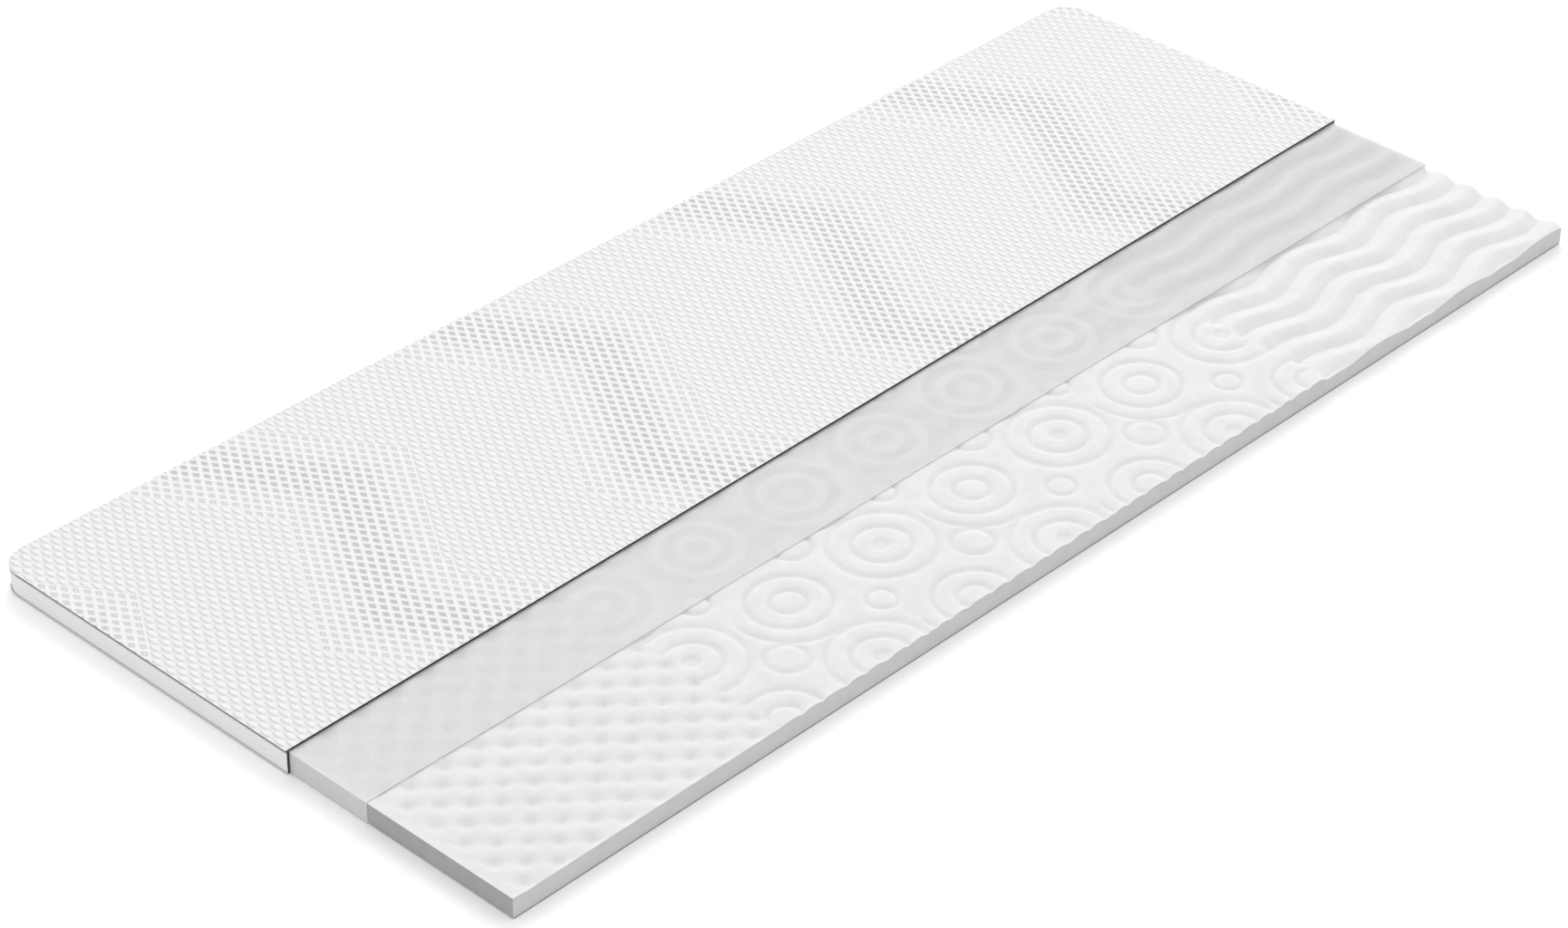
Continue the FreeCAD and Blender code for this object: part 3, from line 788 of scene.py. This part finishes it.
def build_foam(top_material, end_shade_material, side_shade_material):
    """The foam block with its relief. Its bare strip comes down to the floor, because no cover or
    liner lies below it there, and its relief is shallower below the cover."""
    top_step = 0.0033
    bare_step = 0.0031
    liner_step = 0.0042
    hidden_step = 0.025
    floor_gap = 0.0003
    edge_drop = 0.0011
    edge_reach = 0.0016
    lead = 0.02
    fade = 0.05
    low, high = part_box("foam_core")
    liner_cut = cut_line("liner_top")
    cover_cut = cut_line("cover_top_knit")
    bare_end = max(liner_cut) + 0.012
    liner_end = max(cover_cut) + 0.010
    columns = edged(low.x, high.x, top_step)
    rows = rows_between(
        first_edge(low.y)
        + [
            (low.y + EDGE_FAR, bare_end, bare_step),
            (bare_end, liner_end, liner_step),
            (liner_end, high.y, hidden_step),
        ]
    )
    x, y = grid(columns, rows, high.x, high.y, FOAM_CORNER)
    depth = foam_relief(*in_pattern(x, y)) * MM
    hidden = ease((y - max(cover_cut) - lead) / fade)
    top = high.z - depth * (1.0 - 0.8 * hidden)
    edge = np.minimum(np.abs(y - low.y), np.abs(np.abs(x) - high.x))
    top = top - edge_drop * np.clip(1.0 - edge / edge_reach, 0.0, 1.0) ** 2
    bare = 1.0 - ease((y - min(liner_cut) + lead) / fade)
    floor = low.z - (low.z - floor_gap) * bare
    # The walls take the darker foam copies: painted shade on the ends and on the long sides.
    materials = [top_material, side_shade_material, end_shade_material]
    foam = slab(
        "foam_block", x, y, top, floor, materials,
        wall_slots=(1, 2, 1, 2),
        foot=(0.0024, 0.0024),
        replaces=["foam_core"],
        slot="foam",
        sharp=50.0,
    )
    return foam


def build_liner(material, cut_edge_shade):
    """The liner's top panel, which sags into the foam's relief, its side band and its underside."""
    column_step = 0.0075
    row_step = 0.005
    fine_end = -0.02
    gap = 0.0001
    sag_share = 0.85
    cut_fade = 0.025
    end_fade = 0.02
    low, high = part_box("liner_top")
    cuts = cut_line("liner_top")
    columns = rows_between([(low.x, high.x, column_step)])
    rows = rows_between([(cuts[0], fine_end, row_step), (fine_end, high.y, LAYER_STEP)])
    x, y = grid(columns, rows, high.x, high.y, LINER_CORNER, cuts)
    depth = foam_relief(*in_pattern(x, y)) * MM
    from_cut = ease((y - y[0]) / cut_fade)
    from_end = ease((high.x - np.abs(x)) / end_fade)
    top = high.z - gap - sag_share * depth * from_cut * from_end
    thickness = high.z - low.z - gap
    # The panel's cut face at low y takes the dark cut-edge colour: painted shade.
    panel = slab(
        "liner_panel", x, y, top, top - thickness, [material, cut_edge_shade],
        wall_slots=(1, 0, 0, 0),
        replaces=["liner_top"],
        slot="liner",
        sharp=60.0,
    )
    # The hollow attribute sets how much painted shade the liner gets over the foam's hollows.
    spots = np.array([v.co for v in panel.data.vertices])
    depth_below = foam_relief(*in_pattern(spots[:, 0], spots[:, 1]))
    share = np.sqrt(np.clip(depth_below / DEEPEST, 0.0, 1.0))
    hollow = panel.data.attributes.new("hollow", "FLOAT", "POINT")
    hollow.data.foreach_set("value", share.astype(np.float32))

    side_low, side_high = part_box("liner_side")
    path, normals = plan_path(cuts[0], cuts[1], side_high.x, side_high.y, LINER_CORNER, 0.012)

    def wrinkle(k, height):
        t = (height - side_low.z) / (side_high.z - side_low.z)
        return 0.0002 * math.sin(k * 1.7) * math.sin(math.pi * t)

    profile = rounded_profile(0.0005, side_low.z, side_high.z, 0.0001, 0.0001, rows=4)
    band = sweep(
        "liner_band", path, normals, profile, [material],
        ripple=wrinkle,
        replaces=["liner_side"],
        slot="liner",
    )

    under = flat_layer("liner_underside", "liner_bottom", cuts, LINER_CORNER, material, "liner")


def knit_height(x, y):
    """Height of the knit from 0 to 1: closed cells are raised, open cells are holes."""
    x = x - CELL_SHIFT_X
    y = y - CELL_SHIFT_Y
    p = x / CELL_X + y / CELL_Y
    q = x / CELL_X - y / CELL_Y
    p_cell = np.round(p)
    q_cell = np.round(q)
    open_p = 0.5 + 0.5 * np.cos(2.0 * np.pi * (p - p_cell))
    open_q = 0.5 + 0.5 * np.cos(2.0 * np.pi * (q - q_cell))
    middle = open_p * open_q
    cell_x = (p_cell + q_cell) * CELL_X / 2.0 + CELL_SHIFT_X
    cell_y = (p_cell - q_cell) * CELL_Y / 2.0 + CELL_SHIFT_Y
    swing = np.abs((cell_y - BAND_TURN_Y + BAND_TURN) % (2.0 * BAND_TURN) - BAND_TURN)
    centre = BAND_START + swing * BAND_SWING / BAND_TURN
    half = BAND_PITCH / 2.0
    away = np.abs((cell_x - centre + half) % BAND_PITCH - half)
    is_open = away < BAND_HALF
    closed_height = 0.45 + 0.50 * middle
    open_height = 0.90 - 0.70 * middle
    return np.where(is_open, open_height, closed_height)


def build_cover_top(knit, spacer, backing):
    """The cover's top panel: the knit's face, its spacer layer in near-black and its net back. The
    knit's edge is drawn down to its seam, and its cut edge stands at full height."""
    first_rows = 0.0016
    rim_width = 0.0045
    cut_width = 0.0024
    low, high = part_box("cover_top_knit")
    cuts = cut_line("cover_top_knit")
    columns = edged(low.x, high.x, CELL_X / 4.0 * MM)
    rows = rows_between(
        [
            (cuts[0], cuts[0] + first_rows, first_rows / 2.0),
            (cuts[0] + first_rows, high.y - EDGE_FAR, CELL_Y / 8.0 * MM),
        ]
        + last_edge(high.y)
    )
    x, y = grid(columns, rows, high.x, high.y, COVER_CORNER, cuts)
    shape = knit_height(*in_pattern(x, y))
    reach = half_length(y, high.x, high.y, COVER_CORNER)
    edge = np.minimum(high.y - y, reach - np.abs(x))
    top = low.z + 0.0004 + (high.z - low.z) * shape
    rim = low.z + 0.0010
    near = np.clip(1.0 - edge / rim_width, 0.0, 1.0) ** 1.5
    top = top * (1.0 - near) + rim * near
    from_cut = np.clip(1.0 - (y - y[0]) / cut_width, 0.0, 1.0) ** 0.8
    top = top * (1.0 - from_cut) + (high.z - 0.0002) * from_cut
    panel = slab(
        "cover_knit_face", x, y, top, low.z, [knit, spacer],
        wall_slots=(1, 0, 0, 0),
        wall_cuts=(0.0005,),
        replaces=["cover_top_knit"],
        slot="top_knit",
        sharp=60.0,
    )
    for name, node, material, slot, below in (
        ("cover_spacer", "cover_top_spacer", spacer, "spacer_yarn", "cover_backing"),
        ("cover_backing", "cover_top_backing", backing, "backing", "liner_panel"),
    ):
        layer = flat_layer(name, node, cut_line(node), BORDER_CORNER, material, slot)


def build_border(fabric, spacer, seam):
    """The border's end pieces with their corners, its two long strips, and the seams above and
    below it. Returns the border pieces by name."""
    foot_low, foot_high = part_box("border_foot")
    head_low, head_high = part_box("border_head")
    edge = foot_high.y
    cuts = (foot_low.y, head_low.y)
    path, normals = plan_path(*cuts, head_high.x, edge, BORDER_CORNER, PATH_STEP)
    made = {}
    profile = rounded_profile(BORDER_THICKNESS, foot_low.z, foot_high.z, 0.0004, 0.0003, rows=7)
    for name, node, side, caps in (
        ("border_foot_end", "border_foot", "foot", (1, 0)),
        ("border_head_end", "border_head", "head", (0, 1)),
    ):
        low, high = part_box(node)
        spots, turned = part_of_path(path, normals, low.x, high.x, side)
        joint = len(spots) if side == "foot" else 0
        spots.insert(joint, (high.x if side == "foot" else low.x, edge))
        turned.insert(joint, (0.0, 1.0))
        made[name] = sweep(
            name, spots, turned, profile, [fabric, spacer],
            cap_slots=caps,
            replaces=[node],
            slot="border_knit",
        )
    for name, node in (
        ("border_long_lower", "border_side_lower"),
        ("border_long_upper", "border_side_upper"),
    ):
        low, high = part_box(node)
        spots, turned = part_of_path(path, normals, low.x, high.x, "long")
        spots = [(low.x, edge)] + spots[1:-1] + [(high.x, edge)]
        strip = rounded_profile(BORDER_THICKNESS, low.z, high.z, 0.0003, 0.0004, rows=4)
        made[name] = sweep(
            name, spots, turned, strip, [fabric, spacer],
            replaces=[node],
            slot="border_knit",
        )
    # The welt and the binding take the grey seam tape, whose grey is painted shade along the top
    # seam.
    for name, node, radius in (
        ("welt_line", "top_welt", WELT_CORNER),
        ("binding_line", "bottom_binding", BORDER_CORNER),
    ):
        low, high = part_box(node)
        cuts = cut_line(node)
        spots, turned = plan_path(cuts[0], cuts[1], high.x, high.y, radius, PATH_STEP)
        cord = rounded_profile(0.0009, low.z, high.z, 0.0003, 0.0001, rows=4)
        sweep(name, spots, turned, cord, [seam], replaces=[node], slot="seam_tape", sharp=80.0)
    return made


def build_underside(fabric):
    """The cover's base fabric, flat on the floor."""
    cuts = cut_line("cover_bottom")
    name = "cover_underside"
    base = flat_layer(name, "cover_bottom", cuts, BORDER_CORNER, fabric, "base_fabric")


def build_coil(name, node, material):
    """A nylon coil: a flattened helix of eight points a turn with a square section."""
    pitch = 0.0020
    per_turn = 8
    wire = 0.00032
    low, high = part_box(node)
    middle_y = (low.y + high.y) / 2.0
    middle_z = (low.z + high.z) / 2.0
    reach_y = (high.y - low.y) / 2.0 - wire
    reach_z = (high.z - low.z) / 2.0 - wire
    count = int((high.x - low.x) / pitch) * per_turn + 1
    angle = 2.0 * np.pi * np.arange(count) / per_turn
    x = np.linspace(low.x + wire, high.x - wire, count)
    spine = np.stack([x, middle_y + reach_y * np.sin(angle), middle_z + reach_z * np.cos(angle)], 1)
    out = np.stack([np.zeros(count), np.sin(angle), np.cos(angle)], 1)
    along = np.tile([1.0, 0.0, 0.0], (count, 1))
    corners = [spine + wire * (a * out + b * along) for a, b in ((1, 0), (0, 1), (-1, 0), (0, -1))]
    points = np.stack(corners, 1).reshape(-1, 3)
    faces = []
    for i in range(count - 1):
        for j in range(4):
            a = i * 4 + j
            b = i * 4 + (j + 1) % 4
            faces.append([a, b, b + 4, a + 4])
    faces.append([3, 2, 1, 0])
    end = (count - 1) * 4
    faces.append([end, end + 1, end + 2, end + 3])
    piece(name, points, faces, [material], replaces=[node], slot="zip_coil", sharp=80.0)


def build_zip(tape, coil):
    """Both tapes with their stitches, which belong to the border's long strips, and both coils."""
    column_step = 0.05
    for name, node, border, strip_node in (
        ("tape_lower", "zip_tape_lower", "border_long_lower", "border_side_lower"),
        ("tape_upper", "zip_tape_upper", "border_long_upper", "border_side_upper"),
    ):
        low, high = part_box(node)
        spots = [(x, high.y) for x in rows_between([(low.x, high.x, column_step)])]
        turned = [(0.0, 1.0)] * len(spots)
        profile = rounded_profile(high.y - low.y, low.z, high.z, 0.0, 0.0001, rows=3)
        tape_piece = sweep(name, spots, turned, profile, [tape], replaces=[node], slot="zip_tape")
        strip_low, strip_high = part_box(strip_node)
        seam_z = strip_high.z - HEM if border == "border_long_lower" else strip_low.z + HEM
        stitch = build_stitches(name, strip_low, strip_high, seam_z, coil)
    build_coil("coil_lower", "zip_coil_lower", coil)
    build_coil("coil_upper", "zip_coil_upper", coil)


def build_stitches(tape_name, low, high, z, thread):
    """A row of lockstitches at height z that holds a border strip to its zip tape, on the strip's
    outer face. low and high are the strip's box. Both ends of a stitch dive into the cloth."""
    length = 0.0034
    pitch = 0.0048
    margin = 0.005
    sunk = 0.0005
    dive = -0.0003
    proud = 0.0003
    thin = 0.00012
    thick = 0.0003
    y = high.y
    points = []
    faces = []
    for k in range(int((high.x - low.x - 2.0 * margin) / pitch)):
        x0 = low.x + margin + k * pitch
        start = len(points)
        for x, lift, spread in (
            (x0, dive, thin),
            (x0 + 0.2 * length, proud, thick),
            (x0 + 0.8 * length, proud, thick),
            (x0 + length, dive, thin),
        ):
            points.append((x, y - sunk, z - spread))
            points.append((x, y + lift, z))
            points.append((x, y - sunk, z + spread))
        for i in range(3):
            a = start + i * 3
            faces.append([a, a + 1, a + 4, a + 3])
            faces.append([a + 1, a + 2, a + 5, a + 4])
            faces.append([a + 2, a, a + 3, a + 5])
        faces.append([start + 2, start + 1, start])
        faces.append([start + 9, start + 10, start + 11])
    return piece("stitches_" + tape_name, points, faces, [thread], slot="seam_tape")


def build_label(material):
    """The blank care label, which hangs from the welt and bows out a little."""
    rows = 9
    columns = 5
    stand_off = 0.0004
    bow_size = 0.0016
    thickness = 0.0003
    low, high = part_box("care_label")
    points = []
    for k in range(rows):
        t = k / (rows - 1)
        z = high.z - (high.z - low.z) * t
        bow = bow_size * math.sin(math.pi * t) * t
        for j in range(columns):
            x = low.x + (high.x - low.x) * j / (columns - 1)
            points.append((x, low.y + stand_off + bow, z))
    points += [(x, y - thickness, z) for x, y, z in points]
    faces = []
    total = rows * columns
    for k in range(rows - 1):
        for j in range(columns - 1):
            a = k * columns + j
            face = [a, a + columns, a + columns + 1, a + 1]
            faces.append(face)
            faces.append([v + total for v in reversed(face)])
    rim = list(range(columns))
    rim += [k * columns + columns - 1 for k in range(1, rows)]
    rim += [(rows - 1) * columns + j for j in range(columns - 2, -1, -1)]
    rim += [k * columns for k in range(rows - 2, 0, -1)]
    for a, b in zip(rim, rim[1:] + rim[:1]):
        faces.append([a, b, b + total, a + total])
    label = piece("blank_label", points, faces, [material], replaces=["care_label"], slot="label")


def paint(node, material):
    """Gives a CAD node that stays visible its material."""
    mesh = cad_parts[node].data
    mesh.materials.clear()
    mesh.materials.append(material)


foam_top = foam_material("foam_top", 0.70, inside=0.8)
# The two darker copies of the foam's colour below are painted shade on its end faces and its long
# sides.
foam_end_shade = foam_material("foam_end_shade", 0.34)
foam_side_shade = foam_material("foam_side_shade", 0.53)
liner_knit = veil_material("liner_knit", 0.93, 0.43)
# The liner's cut face gets a dark copy of the weave: painted shade along the cut edge.
liner_cut = weave_material("liner_cut", 0.25, 0.8)
top_knit = knit_material("top_knit", ORIGIN)
spacer_yarn = spacer_material("spacer_yarn", 0.045)
net_back = weave_material("net_back", 0.30, 1.2)
border_twill = ribbed_material("border_twill", 0.77, 3.7, 0.34)
# The seam tape's grey, darker than the border, is painted shade for the groove under the top
# panel's lip; the welt cord itself is real, and the binding along the bottom edge has the same
# grey.
seam_tape = weave_material("seam_tape", 0.55, 1.0)
base_weave = weave_material("base_weave", 0.72, 1.6)
tape_weave = weave_material("tape_weave", 0.78, 0.9)
coil_nylon = plastic_material("coil_nylon", 0.82, 0.35)
enamel = metal_material("enamel", 0.80, 0.3, 0.0)
stop_metal = metal_material("stop_metal", 0.62, 0.3, 0.9)
satin = label_material("satin", 0.88)

foam_block = build_foam(foam_top, foam_end_shade, foam_side_shade)
build_underside(base_weave)
build_liner(liner_knit, liner_cut)
build_cover_top(top_knit, spacer_yarn, net_back)
border_pieces = build_border(border_twill, spacer_yarn, seam_tape)
build_zip(tape_weave, coil_nylon)
build_label(satin)
for node_name in ("zip_slider", "zip_pull"):
    paint(node_name, enamel)
for node_name in ("zip_top_stops", "zip_bottom_stop"):
    paint(node_name, stop_metal)


# --------------------------------------
# Floor, light and camera
# --------------------------------------
def build_floor():
    reach = 15.0
    n = Nodes("floor_paper")
    grain = n.noise(6.0, 2.0)
    color = n.mix(n.span(grain, 0.3, 0.7), grey(0.955), grey(0.965))
    material = n.finish(n.principled(color, 1.0).outputs[0])
    mesh = bpy.data.meshes.new("floor")
    corners = [(-reach, -reach, 0), (reach, -reach, 0), (reach, reach, 0), (-reach, reach, 0)]
    mesh.from_pydata(corners, [], [(0, 1, 2, 3)])
    mesh.materials.append(material)
    floor = bpy.data.objects.new("floor", mesh)
    bpy.context.scene.collection.objects.link(floor)


def build_light():
    """A white studio, and one large softbox beyond the head and the closed side."""
    studio_strength = 1.02
    softbox_at = Vector((6.0, 5.5, 8.0))
    softbox_size = 6.0
    softbox_watts = 370.0
    world = bpy.data.worlds.new("studio")
    world.use_nodes = True
    background = world.node_tree.nodes["Background"]
    background.inputs[0].default_value = grey(1.0)
    background.inputs[1].default_value = studio_strength
    bpy.context.scene.world = world
    data = bpy.data.lights.new("softbox", "AREA")
    data.shape = "RECTANGLE"
    data.size = softbox_size
    data.size_y = softbox_size
    data.energy = softbox_watts
    light = bpy.data.objects.new("softbox", data)
    light.location = softbox_at
    light.rotation_euler = (-softbox_at).to_track_quat("-Z", "Y").to_euler()
    bpy.context.scene.collection.objects.link(light)


def build_camera():
    """The photograph's camera, found from the topper's straight edges."""
    stands_at = (-3.4106, -3.0927, 3.0585)
    yaw = math.radians(42.924)
    pitch = math.radians(34.435)
    roll = math.radians(0.823)
    data = bpy.data.cameras.new("camera")
    data.sensor_width = 36.0
    data.lens = 97.79
    data.clip_end = 60.0
    camera = bpy.data.objects.new("camera", data)
    ahead = math.cos(pitch)
    forward = Vector((math.cos(yaw) * ahead, math.sin(yaw) * ahead, -math.sin(pitch)))
    level = Vector((math.sin(yaw), -math.cos(yaw), 0.0))
    upright = level.cross(forward)
    right = math.cos(roll) * level + math.sin(roll) * upright
    up = -math.sin(roll) * level + math.cos(roll) * upright
    turn = Matrix((right, up, -forward)).transposed()
    camera.matrix_world = Matrix.Translation(stands_at) @ turn.to_4x4()
    bpy.context.scene.collection.objects.link(camera)
    bpy.context.scene.camera = camera


build_floor()
build_light()
build_camera()
bpy.context.scene.view_settings.view_transform = "Standard"
